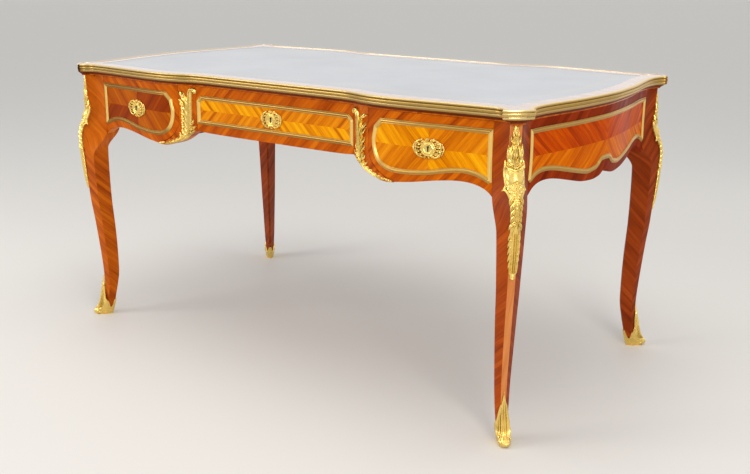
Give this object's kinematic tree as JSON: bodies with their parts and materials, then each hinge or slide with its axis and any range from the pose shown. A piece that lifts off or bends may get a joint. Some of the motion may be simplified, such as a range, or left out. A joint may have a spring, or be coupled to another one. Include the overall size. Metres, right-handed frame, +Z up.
{
  "type": "writing table with three drawers",
  "caption": "French rococo bureau plat: leather writing top in a brass-edged slab, three frieze drawers, false drawers behind, cabriole legs with gilt mounts.",
  "frame": {"origin": "floor level under the middle of the table", "axes": "+X along the table's length to the right of a person who faces the drawers, -Y is the way the drawers open, +Z up"},
  "size_m": [1.5332, 0.8332, 0.77],
  "materials": {
    "frieze_veneer": "satin polish, reddish brown veneer",
    "drawer_veneer": "satin polish, golden orange quartered veneer",
    "leg_veneer": "satin polish, diagonal veneer",
    "border_veneer": "satin polish",
    "inside_wood": "bare planed wood",
    "leather": "dark tooled writing leather",
    "brass_edge": "worn gilt, polished on the raised reeds",
    "brass_fillet": "polished gilt",
    "gilt_bronze": "cast and chased, gilt",
    "lock_brass": "brushed",
    "steel": "brushed"
  },
  "bodies": {
    "desk": {"top_panel": "frieze_veneer", "top_border_veneer": "border_veneer", "leather_top": "leather", "edge_front": "brass_edge", "edge_back": "brass_edge", "edge_left": "brass_edge", "edge_right": "brass_edge", "corner_caps": "brass_edge", "under_moulding": "frieze_veneer", "leg_front_left": "leg_veneer", "leg_front_right": "leg_veneer", "leg_back_left": "leg_veneer", "leg_back_right": "leg_veneer", "sabot_front_left": "gilt_bronze", "sabot_front_right": "gilt_bronze", "sabot_back_left": "gilt_bronze", "sabot_back_right": "gilt_bronze", "chute_front_left": "gilt_bronze", "chute_front_right": "gilt_bronze", "chute_back_left": "gilt_bronze", "chute_back_right": "gilt_bronze", "front_top_rail": "inside_wood", "end_frieze_left": "frieze_veneer", "end_frieze_right": "frieze_veneer", "back_frieze": "frieze_veneer", "partition_left": "frieze_veneer", "partition_right": "frieze_veneer", "knee_stile_left": "frieze_veneer", "knee_stile_right": "frieze_veneer", "drawer_runners": "inside_wood", "drawer_guides": "inside_wood", "top_screws": "steel", "leaf_mount_front_left": "gilt_bronze", "leaf_mount_front_right": "gilt_bronze", "leaf_mounts_back": "gilt_bronze", "end_frame_left": "brass_fillet", "end_frame_right": "brass_fillet", "back_frames": "brass_fillet", "back_escutcheons": "gilt_bronze"},
    "drawer_left": {"drawer_left_front": "drawer_veneer", "drawer_left_box": "inside_wood", "drawer_left_bottom": "inside_wood", "drawer_left_frame": "brass_fillet", "drawer_left_escutcheon": "gilt_bronze", "drawer_left_lock": "lock_brass"},
    "bolt_left": {"drawer_left_bolt": "steel"},
    "drawer_centre": {"drawer_centre_front": "drawer_veneer", "drawer_centre_box": "inside_wood", "drawer_centre_bottom": "inside_wood", "drawer_centre_frame": "brass_fillet", "drawer_centre_escutcheon": "gilt_bronze", "drawer_centre_lock": "lock_brass"},
    "bolt_centre": {"drawer_centre_bolt": "steel"},
    "drawer_right": {"drawer_right_front": "drawer_veneer", "drawer_right_box": "inside_wood", "drawer_right_bottom": "inside_wood", "drawer_right_frame": "brass_fillet", "drawer_right_escutcheon": "gilt_bronze", "drawer_right_lock": "lock_brass"},
    "bolt_right": {"drawer_right_bolt": "steel"}
  },
  "joints": [
    {"name": "drawer_left_slide", "type": "slide", "parent": "desk", "child": "drawer_left", "axis": [0, -1, 0], "range_m": [0, 0.36]},
    {"name": "bolt_left_slide", "type": "slide", "parent": "drawer_left", "child": "bolt_left", "axis": [0, 0, 1], "range_m": [0, 0.008]},
    {"name": "drawer_centre_slide", "type": "slide", "parent": "desk", "child": "drawer_centre", "axis": [0, -1, 0], "range_m": [0, 0.36]},
    {"name": "bolt_centre_slide", "type": "slide", "parent": "drawer_centre", "child": "bolt_centre", "axis": [0, 0, 1], "range_m": [0, 0.008]},
    {"name": "drawer_right_slide", "type": "slide", "parent": "desk", "child": "drawer_right", "axis": [0, -1, 0], "range_m": [0, 0.36]},
    {"name": "bolt_right_slide", "type": "slide", "parent": "drawer_right", "child": "bolt_right", "axis": [0, 0, 1], "range_m": [0, 0.008]}
  ]
}
